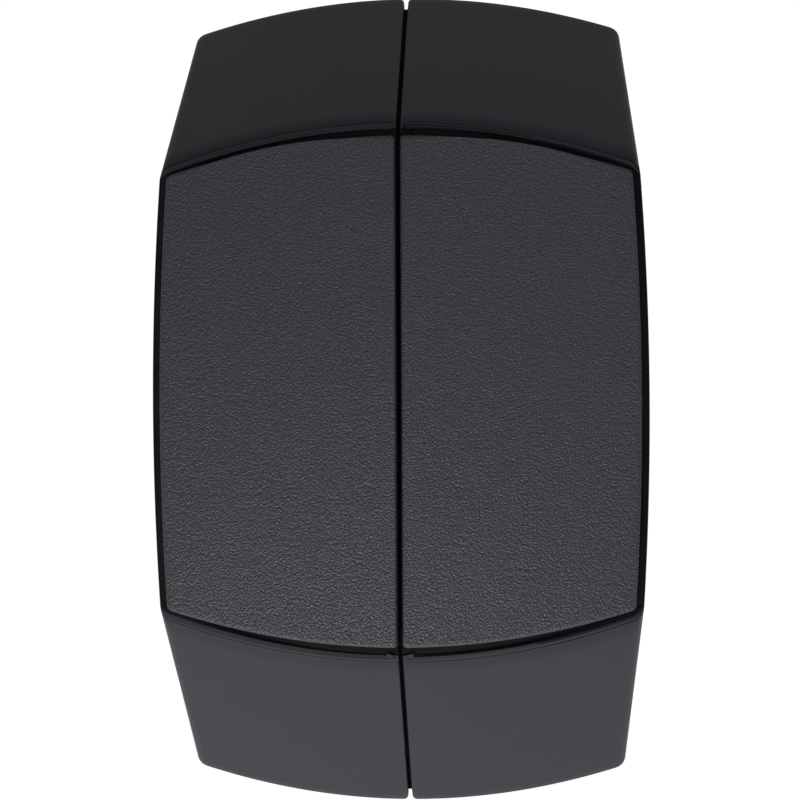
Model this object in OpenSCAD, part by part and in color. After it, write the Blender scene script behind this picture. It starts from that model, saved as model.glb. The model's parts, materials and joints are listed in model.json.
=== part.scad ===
// Compact two-aspect pedestrian signal head. The front housing carries the two LED optics.
// The rear is a clamshell of two leaves that meet at an upright seam and swing open on hinges
// at their outer edges. +Z is up, the lenses look along +Y and the leaves face -Y.
// The origin is the mouth of the lower mounting bore.

/* [Optics] */
// Clear diameter of one signal lens
lens_d = 200; // [170:1:250]
// Space between the two lens apertures
lens_gap = 10; // [9:0.5:40]
// Thickness of the lens wall
lens_t = 2.5; // [2:0.1:3]
// Rise of the lens dome
lens_rise = 6; // [3:0.5:12]
// Length of a visor in front of its flange
visor_l = 118; // [60:1:180]
// Wall of a visor tunnel
visor_wall = 2.5; // [2:0.1:3]
// Depth of an optic module behind the front wall
module_d = 55; // [46:1:62]
// Light emitting diodes in the rings around each board's centre
led_rings = [6, 12, 18];

/* [Rear leaves] */
// Depth of a leaf from its rim to its rear wall
leaf_d = 116; // [100:1:150]
// Height that each sloped end gives up between rim and rear wall
rear_drop = 98; // [60:1:115]
// Wall of the leaves
leaf_wall = 3.5; // [3:0.1:5]
// Thickness of the grained rear panel
panel_t = 4; // [3:0.1:6]
// Band of leaf left bare around the rear panel
panel_reveal = 1.5; // [0.8:0.1:4]
// Gap between the two leaves at the seam
seam_gap = 2.2; // [1.6:0.1:4]
// Turn of each rear wall away from the seam
rear_turn = 1.5; // [0:0.1:3]

/* [Front housing] */
// Rim standing outside the lens aperture at each side
side_margin = 26; // [24:1:60]
// Rim standing outside the lens aperture at the seam
end_margin = 25; // [24:1:60]
// Rise of the curved top and bottom
end_bow = 20; // [8:1:26]
// Rise of the curved sides
side_bow = 4; // [1:0.5:6]
// Depth of the front housing
housing_d = 40; // [38:1:60]
// Wall of the front housing
housing_wall = 3; // [2.5:0.1:4]
// Thickness of the front wall
front_t = 5; // [4.5:0.1:7]
// Step from the leaf rim in to the housing
housing_inset = 5.5; // [5:0.1:7]
// Thickness of the rim gasket
gasket_t = 1.5; // [1:0.1:2.5]

/* [Hinges and locks] */
// Diameter of a hinge pin
hinge_pin_d = 5; // [4:0.1:6.4]
// Outer diameter of the hinge knuckles
knuckle_d = 10; // [9.5:0.1:11]
// Height of each hinge above and below the middle of the head
hinge_z = 72; // [50:1:90]
// Distance of each lock from the seam
lock_x = 45; // [40:1:50]
// Diameter of a lock spindle
spindle_d = 8; // [6:0.1:10]

/* [Mounting] */
// Bore of the mounting inserts
mount_bore_d = 24; // [16:0.5:29]
// Outer diameter of the mounting inserts
insert_d = 30; // [29.5:0.5:32]
// Distance of the mounting axis in front of the rim plane
mount_y = 20; // [19:0.5:21]

/* [Hidden] */
$fn = 64;

// Overall form
lens_r = lens_d / 2;
pitch = lens_d + lens_gap;
aspect_z = pitch / 2;
rim_half_w = lens_r + side_margin;
rim_half_h = aspect_z + lens_r + end_margin;
rear_half_h = rim_half_h - rear_drop;
corner_w = rim_half_w - side_bow;
corner_r = 5.5;
arc_steps = 12;
eps = 0.01;
rim_land = 2;
leaf_slope = (rim_half_h - rear_half_h) / (leaf_d - rim_land);
slope_lift = sqrt(1 + leaf_slope * leaf_slope);

// Housing
housing_y = gasket_t + 0.3;
housing_half_h = rim_half_h - housing_inset;
front_back_y = housing_d - front_t;

// Optic stack, front to back
mask_t = 2;
diffuser_t = 3;
board_t = 1.6;
board_gap = 20;
can_wall = 2;
can_rim_d = 7;
can_lip = 2.3;
mask_r = lens_r + 1.5;
can_flange_r = mask_r + 0.2 + can_lip;
can_r = lens_r - 8;
can_back_r = can_r - 16;
can_back_y = front_back_y - module_d;
can_cone_y = can_back_y + 16;
diffuser_y = front_back_y - mask_t - diffuser_t;
board_y = diffuser_y - board_gap - board_t;
board_r = can_r - can_wall - 0.2;
ledge_w = 5;
lug_r = 6;
lug_t = 4;
lug_pcr = can_flange_r + 4;
lug_angles = [20, 160, 200, 340];

// Lens seat and visor
lens_flange_r = lens_r + 3.5;
rebate_r = lens_flange_r + 0.3;
lens_gasket_t = 1;
rebate_y = housing_d - lens_t - lens_gasket_t;
visor_flange_r = lens_r + 4.5;
visor_flange_t = 3;
visor_r = visor_flange_r - 1;
visor_ring_l = 12;
visor_tab_r = 6;
visor_tab_pcr = lens_r + 9;
visor_tab_t = 2.5;
visor_screw_r = 2;

// Drivers and wiring
driver_w = 70;
driver_h = 42;
driver_t = 20;
driver_z = aspect_z;
block_w = 66;
block_t = 20;
block_h = 22;
block_poles = 6;
strap_t = 2;
strap_h = 20;
strap_back_y = -26;
strap_boss_x = rim_half_w - 18;
strap_foot_y = 6;
screw_r = 2;
lead_d = 5;

// Hinges
run_gap = 0.05;
knuckle_r = knuckle_d / 2;
pin_r = hinge_pin_d / 2;
hinge_x = rim_half_w + knuckle_r;
hinge_y = knuckle_r;
leaf_knuckle_h = 16;
housing_knuckle_h = 12;
knuckle_gap = 0.3;
hinge_half_h = leaf_knuckle_h / 2 + knuckle_gap + housing_knuckle_h;

// Locks
lock_y = 12;
lock_wall_z = housing_half_h - bow(lock_x / (corner_w - housing_inset), end_bow);
spindle_r = spindle_d / 2;
bush_r = spindle_r + 4;
bush_below = 5;
bush_above = 1.6;
cam_t = 4;
cam_z = lock_wall_z - 20.5;
cam_in_r = 22.5;
cam_out_r = 27;
cam_arm_w = 8;
cam_arm_turn = 38;
striker_w = 5;
striker_y = -6.5;
striker_face_y = -1.5;
striker_foot_w = 16;
striker_foot_t = 2.5;
striker_foot_h = 4;
striker_gap = 1;
rim_flange_w = 11;
rim_flange_t = 4;
rim_flange_z = rim_half_h - rim_flange_w - bow(lock_x / corner_w, end_bow);

// Panel studs
stud_r = 3;
stud_hole_r = 1.5;
stud_x = [28, corner_w - 26];
stud_z = rear_half_h - 50;

// Mounting
mount_boss_l = 13;
mount_boss_r = insert_d / 2 + 3;
insert_bore_r = mount_bore_d / 2;
vent_r = 6;
vent_head_r = 9;
vent_x = strap_boss_x - 22;

function bow(u, rise) = rise * u * u;
function arc_points(a, b, rise) =
    [for (i = [0 : arc_steps - 1])
        let (u = 2 * i / arc_steps - 1, s = rise * (1 - u * u),
             d = (b - a) / norm(b - a), n = [-d.y, d.x])
        a + (b - a) * (u + 1) / 2 + n * s];
function outline(half_w, half_h) =
    let (w = half_w - side_bow, h = half_h - end_bow)
    concat(arc_points([-w, -h], [-w, h], side_bow), arc_points([-w, h], [w, h], end_bow),
           arc_points([w, h], [w, -h], side_bow), arc_points([w, -h], [-w, -h], end_bow));
function seam_profile(inset, rim_y) =
    let (h = rim_half_h - inset * slope_lift,
         r = rear_half_h + leaf_slope * inset - inset * slope_lift,
         y = inset - leaf_d)
    [[rim_y, h], [-rim_land, h], [y, r], [y, -r], [-rim_land, -h], [rim_y, -h]];

// Barrel outline in X and Z, set in by a given width
module barrel_2d(half_h, inset) {
    round_r = max(corner_r - inset, 1);
    offset(r = round_r, $fn = 24) offset(delta = -round_r - inset)
        polygon(outline(rim_half_w, half_h));
}
module right_half_2d(from_x) {
    intersection() {
        children();
        translate([from_x, -2 * rim_half_h]) square([2 * rim_half_w, 4 * rim_half_h]);
    }
}
// Extrudes an X-Z outline between two depths
module slab(y_low, y_high) {
    translate([0, y_high, 0]) rotate([90, 0, 0]) linear_extrude(y_high - y_low) children();
}
// Extrudes a Y-Z profile from one X to another
module across(x_low, x_high) {
    translate([x_low, 0, 0]) rotate([90, 0, 90]) linear_extrude(x_high - x_low) children();
}
// Turns a radius-depth profile about +Y
module turned_y() { rotate([-90, 0, 0]) rotate_extrude() children(); }
module rod_y(r, y_low, y_high) {
    translate([0, y_low, 0]) rotate([-90, 0, 0]) cylinder(r = r, h = y_high - y_low);
}
module rear_plane(depth) { translate([0, -depth, 0]) rotate([0, 0, rear_turn]) children(); }
module place() { translate([0, -mount_y, housing_half_h]) children(); }
module at_red() { translate([0, 0, aspect_z]) children(); }
module at_green() { translate([0, 0, -aspect_z]) children(); }
module both_aspects() { at_red() children(); at_green() children(); }
module mirrored_z() { children(); mirror([0, 0, 1]) children(); }
module mirrored_x() { children(); mirror([1, 0, 0]) children(); }
module left_side() { mirror([1, 0, 0]) children(); }
module around(angles, radius) {
    for (a = angles) rotate([0, -a, 0]) translate([radius, 0, 0]) children();
}

// ---- Front housing ----
module housing_knuckles() {
    span = housing_knuckle_h;
    offset_z = leaf_knuckle_h / 2 + knuckle_gap;
    for (z = [hinge_z, -hinge_z]) translate([hinge_x, 0, z]) mirrored_z() {
        translate([0, hinge_y, offset_z]) cylinder(r = knuckle_r, h = span);
        translate([-hinge_x + corner_w - housing_inset - 1, housing_y, offset_z])
            cube([hinge_x - corner_w + housing_inset + 1, hinge_y + knuckle_r - housing_y, span]);
    }
}
module lock_bores() {
    for (x = [lock_x, -lock_x]) translate([x, lock_y, lock_wall_z - bush_below - 4])
        cylinder(r = bush_r, h = 20);
}
module front_housing() {
    color([0.10, 0.10, 0.11]) difference() {
        union() {
            difference() {
                slab(housing_y, housing_d) barrel_2d(rim_half_h, housing_inset);
                slab(housing_y - 1, front_back_y)
                    barrel_2d(rim_half_h, housing_inset + housing_wall);
            }
            mirrored_z() translate([0, mount_y, housing_half_h - mount_boss_l])
                cylinder(r = mount_boss_r, h = mount_boss_l);
            mirrored_x() translate([strap_boss_x, 0, 0])
                rod_y(6, strap_foot_y, front_back_y + eps);
            mirrored_x() housing_knuckles();
            both_aspects() around([45, 135, 225, 315], visor_tab_pcr)
                rod_y(4.5, front_back_y - 7, front_back_y + eps);
        }
        both_aspects() {
            rod_y(lens_r, 0, housing_d + 1);
            rod_y(rebate_r, rebate_y, housing_d + 1);
            around([45, 135, 225, 315], visor_tab_pcr)
                rod_y(visor_screw_r, front_back_y - 5, housing_d + 1);
            around(lug_angles, lug_pcr) rod_y(screw_r, 0, front_back_y + 3);
        }
        mirrored_z() translate([0, mount_y, housing_half_h - mount_boss_l - 1])
            cylinder(r = insert_d / 2, h = mount_boss_l + 2);
        mirrored_z() lock_bores();
        mirrored_x() translate([strap_boss_x, 0, 0]) rod_y(screw_r, 0, strap_foot_y + 12);
        mirrored_x() for (z = [hinge_z, -hinge_z])
            translate([hinge_x, hinge_y, z - 2 * hinge_half_h])
                cylinder(r = pin_r, h = 4 * hinge_half_h);
        translate([-vent_x, mount_y, -rim_half_h]) cylinder(r = vent_r, h = 40);
    }
}
module housing_gasket() {
    color([0.05, 0.05, 0.05]) difference() {
        slab(0.3, housing_y) barrel_2d(rim_half_h, housing_inset);
        slab(0, housing_y + 1) barrel_2d(rim_half_h, housing_inset + housing_wall);
    }
}
module mount_insert() {
    color([0.70, 0.70, 0.68]) translate([0, mount_y, housing_half_h - mount_boss_l])
        difference() {
            cylinder(r = insert_d / 2, h = mount_boss_l);
            translate([0, 0, -1]) cylinder(r = insert_bore_r, h = mount_boss_l + 2);
        }
}
module vent_plug() {
    z = -housing_half_h + bow(vent_x / (corner_w - housing_inset), end_bow);
    color([0.08, 0.08, 0.08]) translate([-vent_x, mount_y, z]) union() {
        translate([0, 0, -1.2]) cylinder(r = vent_r, h = housing_wall + 4);
        translate([0, 0, housing_wall + 1.6]) cylinder(r = vent_head_r, h = 3);
    }
}

// ---- Optics ----
function dome(y, rise) =
    [for (i = [0 : arc_steps]) let (u = 1 - i / arc_steps) [lens_r * u, y + rise * (1 - u * u)]];
module lens(tint) {
    seat = rebate_y + lens_gasket_t;
    inner = dome(seat, lens_rise);
    outer = dome(housing_d, lens_rise);
    color(tint) turned_y() polygon(concat(
        [[lens_flange_r, seat]], inner, [for (i = [arc_steps : -1 : 0]) outer[i]],
        [[lens_flange_r, housing_d]]));
}
module lens_gasket() {
    color([0.05, 0.05, 0.05]) turned_y() translate([lens_r, rebate_y])
        square([lens_flange_r - lens_r, lens_gasket_t]);
}
// A limb of the figure: straight lengths with slightly fuller round joints
module limb(joints, w) {
    for (p = joints) translate(p) circle(d = w + 0.6);
    for (i = [1 : len(joints) - 1])
        let (a = joints[i - 1], b = joints[i])
        translate(a) rotate(atan2(b.y - a.y, b.x - a.x)) translate([0, -w / 2])
            square([norm(b - a), w]);
}
figure_s = lens_r / 100;
module standing_figure_2d() {
    scale(figure_s) {
        translate([0, 54]) circle(r = 12);
        translate([-14, -12]) square([28, 48]);
        limb([[-20, -8], [-20, 30], [20, 30], [20, -8]], 9);
        limb([[-7.5, -14], [-7.5, -64]], 12);
        limb([[7.5, -14], [7.5, -64]], 12);
    }
}
module walking_figure_2d() {
    scale(figure_s) {
        translate([4, 56]) circle(r = 12);
        limb([[2, 28], [-2, -4]], 24);
        limb([[-2, 31], [-26, 8], [-22, -10]], 9);
        limb([[4, 30], [22, 10], [36, 4]], 9);
        limb([[1, -9], [18, -30], [22, -62]], 12);
        limb([[-5, -10], [-16, -34], [-36, -56]], 12);
    }
}
module symbol_mask() {
    color([0.04, 0.04, 0.04]) difference() {
        rod_y(mask_r, front_back_y - mask_t, front_back_y);
        slab(front_back_y - mask_t - 1, front_back_y + 1) children();
    }
}
module diffuser() {
    color([0.92, 0.92, 0.9]) rod_y(mask_r, diffuser_y, diffuser_y + diffuser_t);
}
module led_board() {
    color([0.85, 0.87, 0.85]) rod_y(board_r, board_y, board_y + board_t);
}
module leds(tint) {
    ring_step = (board_r - 16) / len(led_rings);
    color(tint) for (k = [0 : len(led_rings) - 1])
        around([for (i = [0 : led_rings[k] - 1]) 360 * i / led_rings[k]], ring_step * (k + 1))
            union() {
                rod_y(2.5, board_y + board_t, board_y + board_t + 3);
                translate([0, board_y + board_t + 3, 0]) sphere(r = 2.5, $fn = 24);
            }
}
module module_can() {
    rim_y = front_back_y - can_rim_d;
    floor_y = can_back_y + can_wall;
    color([0.13, 0.13, 0.14]) difference() {
        union() {
            turned_y() polygon([
                [0, can_back_y], [can_back_r, can_back_y], [can_r, can_cone_y], [can_r, rim_y],
                [can_flange_r, rim_y], [can_flange_r, front_back_y], [mask_r, front_back_y],
                [mask_r, diffuser_y], [can_r - can_wall, diffuser_y],
                [can_r - can_wall, board_y], [can_r - can_wall - ledge_w, board_y],
                [can_r - can_wall - ledge_w, board_y - 3], [can_r - can_wall, board_y - 3],
                [can_r - can_wall, can_cone_y], [can_back_r - can_wall, floor_y], [0, floor_y]]);
            around(lug_angles, lug_pcr) rod_y(lug_r, front_back_y - lug_t, front_back_y);
        }
        around(lug_angles, lug_pcr) rod_y(screw_r, front_back_y - 10, front_back_y + 1);
        rod_y(mask_r, diffuser_y, front_back_y + 1);
        mirrored_x() translate([driver_w / 2 - 6, 0, 0]) rod_y(1.5, can_back_y - 1, floor_y + 1);
    }
}
module driver() {
    y_back = can_back_y - driver_t;
    color([0.75, 0.76, 0.78]) difference() {
        union() {
            translate([-driver_w / 2 + 12, y_back, -driver_h / 2])
                cube([driver_w - 24, driver_t, driver_h]);
            translate([-driver_w / 2, can_back_y - 3, -9]) cube([driver_w, 3, 18]);
        }
        mirrored_x() translate([driver_w / 2 - 6, 0, 0]) rod_y(1.5, y_back, can_back_y + 1);
    }
}
module driver_screws() {
    color([0.75, 0.75, 0.75]) both_aspects() mirrored_x()
        translate([driver_w / 2 - 6, 0, 0]) union() {
            rod_y(1.5, can_back_y - 3, can_back_y + can_wall);
            rod_y(3.2, can_back_y - 5.2, can_back_y - 3);
        }
}
module module_screws() {
    head_y = front_back_y - lug_t;
    color([0.75, 0.75, 0.75]) both_aspects() around(lug_angles, lug_pcr) union() {
        rod_y(screw_r, head_y, front_back_y + 3);
        rod_y(4, head_y - 2.6, head_y);
    }
}

// ---- Visors ----
module visor() {
    y0 = housing_d;
    y1 = housing_d + visor_flange_t;
    rake = atan2(1.15 * visor_r, visor_l - visor_ring_l);
    color([0.10, 0.10, 0.11]) difference() {
        union() {
            turned_y() polygon([
                [lens_r, y0], [visor_flange_r, y0], [visor_flange_r, y1], [visor_r, y1],
                [visor_r, y1 + visor_l], [visor_r - visor_wall, y1 + visor_l],
                [visor_r - visor_wall, y1], [lens_r, y1]]);
            around([45, 135, 225, 315], visor_tab_pcr) rod_y(visor_tab_r, y0, y0 + visor_tab_t);
        }
        around([45, 135, 225, 315], visor_tab_pcr) rod_y(visor_screw_r, y0 - 1, y1 + 1);
        translate([0, y1 + visor_ring_l, -visor_r - 1]) rotate([rake, 0, 0])
            translate([-2 * visor_r, 0, -3 * visor_r])
                cube([4 * visor_r, 3 * visor_r, 3 * visor_r]);
    }
}
module visor_screws() {
    y1 = housing_d + visor_tab_t;
    color([0.75, 0.75, 0.75]) both_aspects()
        around([45, 135, 225, 315], visor_tab_pcr) difference() {
            union() {
                rod_y(visor_screw_r, front_back_y - 5, y1);
                rod_y(3.8, y1, y1 + 2.4);
            }
            slab(y1 + 1.4, y1 + 3) square([5, 1], center = true);
        }
}

// ---- Terminals and leads ----
module terminal_bracket() {
    leg_x = strap_boss_x - 8;
    color([0.72, 0.72, 0.74]) difference() {
        mirrored_x() union() {
            translate([-eps, strap_back_y, -strap_h / 2]) cube([leg_x, strap_t, strap_h]);
            translate([leg_x - strap_t, strap_back_y, -strap_h / 2])
                cube([strap_t, strap_foot_y - strap_back_y, strap_h]);
            translate([leg_x - strap_t, strap_foot_y - strap_t, -strap_h / 2])
                cube([strap_boss_x + 7 - leg_x + strap_t, strap_t, strap_h]);
        }
        mirrored_x() translate([strap_boss_x, 0, 0]) rod_y(screw_r, 0, strap_foot_y + 1);
    }
}
module bracket_screws() {
    foot_y = strap_foot_y - strap_t;
    color([0.75, 0.75, 0.75]) mirrored_x() translate([strap_boss_x, 0, 0]) union() {
        rod_y(screw_r, foot_y, strap_foot_y + 12);
        rod_y(4, foot_y - 2.6, foot_y);
    }
}
pole_step = block_w / block_poles;
module poles() {
    for (i = [0 : block_poles - 1])
        translate([(i - (block_poles - 1) / 2) * pole_step, 0, 0]) children();
}
module terminal_block() {
    back_y = strap_back_y - block_t;
    color([0.80, 0.80, 0.76]) difference() {
        translate([-block_w / 2, back_y, -block_h / 2]) cube([block_w, block_t, block_h]);
        poles() mirrored_z() translate([0, 0, block_h / 2 - 5]) rod_y(2.6, back_y - 1, back_y + 6);
        poles() translate([0, back_y + 11, -block_h]) cylinder(r = 2, h = 2 * block_h);
    }
}
module terminal_screws() {
    back_y = strap_back_y - block_t;
    color([0.80, 0.72, 0.45]) poles() mirrored_z() translate([0, 0, block_h / 2 - 5])
        difference() {
            rod_y(2.5, back_y + 2, back_y + 6);
            slab(back_y + 1, back_y + 3) square([6, 0.8], center = true);
        }
}
// A round lead swept along route points with eight sides
lead_sides = 8;
red_route = [[14, -31, 84], [14, -31, 76], [14, -36, 66], [15, -45, 57], [16, -53, 48],
             [17, -58, 38], [17, -58, 29], [17, -51, 22], [17, -42, 18], [17, -35, 16],
             [16.5, -35, 11]];
function route_for(side) =
    let (n = len(red_route) - 1, end_x = pole_step * 1.5, x_scale = end_x / red_route[n].x,
         top = driver_z - driver_h / 2, low = block_h / 2, old_span = red_route[0].z - red_route[n].z,
         y_top = can_back_y - driver_t / 2, y_low = strap_back_y - block_t + 11)
    [for (i = [0 : n])
        let (t = (red_route[i].z - red_route[n].z) / old_span)
        [red_route[i].x * x_scale * side,
         red_route[i].y + (y_top - red_route[0].y) * t + (y_low - red_route[n].y) * (1 - t),
         (low + (top - low) * t) * side]];
module lead(path) {
    n = len(path);
    function tangent(i) = let (a = path[max(i - 1, 0)], b = path[min(i + 1, n - 1)])
        (b - a) / norm(b - a);
    rings = [for (i = [0 : n - 1])
        let (t = tangent(i), u = cross([1, 0, 0], t) / norm(cross([1, 0, 0], t)), v = cross(t, u))
        for (k = [0 : lead_sides - 1])
            let (a = 360 * k / lead_sides) path[i] + lead_d / 2 * (u * cos(a) + v * sin(a))];
    sides = [for (i = [0 : n - 2], k = [0 : lead_sides - 1])
        let (a = i * lead_sides + k, b = i * lead_sides + (k + 1) % lead_sides)
        [a, a + lead_sides, b + lead_sides, b]];
    polyhedron(rings, concat(sides, [[for (k = [0 : lead_sides - 1]) k]],
        [[for (k = [lead_sides - 1 : -1 : 0]) (n - 1) * lead_sides + k]]));
}

// ---- Locks ----
module at_lock() { translate([lock_x, lock_y, 0]) children(); }
module lock_bush() {
    z = lock_wall_z - bush_below;
    at_lock() translate([0, 0, z]) difference() {
        cylinder(r = bush_r, h = bush_below + bush_above);
        translate([0, 0, -1]) cylinder(r = spindle_r + run_gap, h = bush_below + bush_above + 2);
    }
}
module lock_spindle() {
    top = lock_wall_z + bush_above + 0.2;
    color([0.72, 0.72, 0.74]) at_lock() difference() {
        union() {
            translate([0, 0, cam_z]) cylinder(r = spindle_r, h = top - cam_z + 0.5);
            translate([0, 0, top]) cylinder(r = spindle_r + 2.4, h = 2);
        }
        translate([0, 0, top - 4]) cylinder(r = spindle_r - 1, h = 8, $fn = 3);
    }
}
module cam_wedge_2d() { polygon([[0, 0], [40, -19], [46, 12], [34, 34]]); }
module lock_cam() {
    color([0.70, 0.70, 0.72]) at_lock() translate([0, 0, cam_z]) difference() {
        union() {
            cylinder(r = spindle_r + 4, h = cam_t);
            rotate([0, 0, cam_arm_turn]) translate([0, -cam_arm_w / 2, 0])
                cube([cam_in_r + 2, cam_arm_w, cam_t]);
            intersection() {
                difference() {
                    cylinder(r = cam_out_r, h = cam_t);
                    translate([0, 0, -1]) cylinder(r = cam_in_r, h = cam_t + 2);
                }
                linear_extrude(cam_t) cam_wedge_2d();
            }
        }
        translate([0, 0, -1]) cylinder(r = spindle_r, h = cam_t + 2);
    }
}

// ---- Hinge pins ----
module hinge_pins() {
    color([0.74, 0.74, 0.76]) for (z = [hinge_z, -hinge_z])
        translate([hinge_x, hinge_y, z]) union() {
            translate([0, 0, -hinge_half_h]) cylinder(r = pin_r, h = 2 * hinge_half_h);
            translate([0, 0, hinge_half_h]) cylinder(r = pin_r + 1.2, h = 2);
        }
}

// ---- Rear leaves, drawn for the right side ----
module leaf_form(inset, from_x, rim_y) {
    hull() {
        slab(-rim_land, rim_y) right_half_2d(from_x) barrel_2d(rim_half_h, inset);
        rear_plane(leaf_d - inset) slab(0, 0.02)
            right_half_2d(from_x) barrel_2d(rear_half_h, inset);
    }
}
module leaf_knuckle() {
    h = leaf_knuckle_h;
    for (z = [hinge_z, -hinge_z]) translate([hinge_x, 0, z - h / 2]) {
        translate([0, hinge_y, 0]) cylinder(r = knuckle_r, h = h);
        translate([-knuckle_r + 1, -knuckle_r - 3, 0])
            cube([2 * knuckle_r - 1.5, hinge_y + knuckle_r + 3, h]);
        translate([-knuckle_r - leaf_wall + 0.5, -knuckle_r - 3, 0])
            cube([leaf_wall + 2, knuckle_r + 2, h]);
    }
}
module panel_studs(r, y_low, y_high) {
    for (x = stud_x, z = [stud_z, -stud_z]) translate([x, 0, z]) rod_y(r, y_low, y_high);
}
module rear_shell() {
    seam_x = seam_gap / 2;
    color([0.17, 0.17, 0.19]) difference() {
        union() {
            difference() {
                leaf_form(0, seam_x, 0);
                leaf_form(leaf_wall, -1, 1);
            }
            intersection() {
                slab(-rim_flange_t, 0) difference() {
                    barrel_2d(rim_half_h, 1);
                    barrel_2d(rim_half_h, rim_flange_w);
                }
                leaf_form(0, seam_x, 0);
            }
            across(seam_x, seam_x + 3) difference() {
                polygon(seam_profile(1.2, 0));
                polygon(seam_profile(14, 1));
            }
            leaf_knuckle();
        }
        for (z = [hinge_z, -hinge_z]) translate([hinge_x, hinge_y, z - leaf_knuckle_h])
            cylinder(r = pin_r + run_gap, h = 2 * leaf_knuckle_h);
        rear_plane(leaf_d) panel_studs(stud_r, -1, leaf_wall + 3);
    }
}
module rear_panel() {
    color([0.21, 0.21, 0.235]) rear_plane(leaf_d) difference() {
        union() {
            slab(-panel_t, 0) right_half_2d(seam_gap / 2 + panel_reveal / 2)
                barrel_2d(rear_half_h, panel_reveal);
            panel_studs(stud_r, -eps, leaf_wall);
        }
        panel_studs(stud_hole_r, -1.5, leaf_wall + 1);
    }
}
module panel_screws() {
    color([0.75, 0.75, 0.75]) rear_plane(leaf_d) union() {
        panel_studs(stud_hole_r, -1.5, leaf_wall);
        panel_studs(stud_r + 2.5, leaf_wall, leaf_wall + 2);
    }
}
module strikers() {
    color([0.72, 0.72, 0.74]) mirrored_z() union() {
        translate([lock_x - striker_w / 2, striker_y, cam_z - 2])
            cube([striker_w, striker_face_y - striker_y, rim_flange_z - striker_gap - cam_z + 2]);
        translate([lock_x - striker_foot_w / 2, striker_y, rim_flange_z + 1 - striker_foot_h])
            cube([striker_foot_w, striker_foot_t, striker_foot_h]);
    }
}
module seam_seal() {
    color([0.05, 0.05, 0.05]) across(-seam_gap / 2, seam_gap / 2 - 0.4) difference() {
        polygon(seam_profile(8, 0));
        polygon(seam_profile(12, 1));
    }
}

red = [0.75, 0.10, 0.08];
green = [0.10, 0.62, 0.42];
place() front_housing();
place() housing_gasket();
place() mount_insert();  // top_mount_insert
place() mirror([0, 0, 1]) mount_insert();  // bottom_mount_insert
place() at_red() lens(red);  // red_lens
place() at_green() lens(green);  // green_lens
place() at_red() lens_gasket();  // red_lens_gasket
place() at_green() lens_gasket();  // green_lens_gasket
place() at_red() symbol_mask() standing_figure_2d();  // red_symbol_mask
place() at_green() symbol_mask() walking_figure_2d();  // green_symbol_mask
place() at_red() diffuser();  // red_diffuser
place() at_green() diffuser();  // green_diffuser
place() at_red() led_board();  // red_led_board
place() at_green() led_board();  // green_led_board
place() at_red() leds(red);  // red_leds
place() at_green() leds(green);  // green_leds
place() at_red() module_can();  // red_module_can
place() at_green() module_can();  // green_module_can
place() at_red() driver();  // red_driver
place() at_green() driver();  // green_driver
place() module_screws();
place() driver_screws();
place() at_red() visor();  // red_visor
place() at_green() visor();  // green_visor
place() visor_screws();
place() terminal_bracket();
place() bracket_screws();
place() terminal_block();
place() terminal_screws();
place() color(red) lead(route_for(1));  // red_lead
place() color(green) lead(route_for(-1));  // green_lead
place() vent_plug();
place() color([0.6, 0.6, 0.62]) mirrored_x() mirrored_z() lock_bush();  // lock_bushes
place() lock_spindle();  // lock_spindle_top_right
place() left_side() lock_spindle();  // lock_spindle_top_left
place() mirror([0, 0, 1]) lock_spindle();  // lock_spindle_bottom_right
place() left_side() mirror([0, 0, 1]) lock_spindle();  // lock_spindle_bottom_left
place() lock_cam();  // lock_cam_top_right
place() left_side() lock_cam();  // lock_cam_top_left
place() mirror([0, 0, 1]) lock_cam();  // lock_cam_bottom_right
place() left_side() mirror([0, 0, 1]) lock_cam();  // lock_cam_bottom_left
place() hinge_pins();  // hinge_pins_right
place() left_side() hinge_pins();  // hinge_pins_left
place() rear_shell();  // right_rear_shell
place() left_side() rear_shell();  // left_rear_shell
place() rear_panel();  // right_rear_panel
place() left_side() rear_panel();  // left_rear_panel
place() panel_screws();  // right_panel_screws
place() left_side() panel_screws();  // left_panel_screws
place() strikers();  // right_strikers
place() left_side() strikers();  // left_strikers
place() seam_seal();
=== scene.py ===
import json
import math

import bmesh
import bpy
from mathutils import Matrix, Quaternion, Vector

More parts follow.
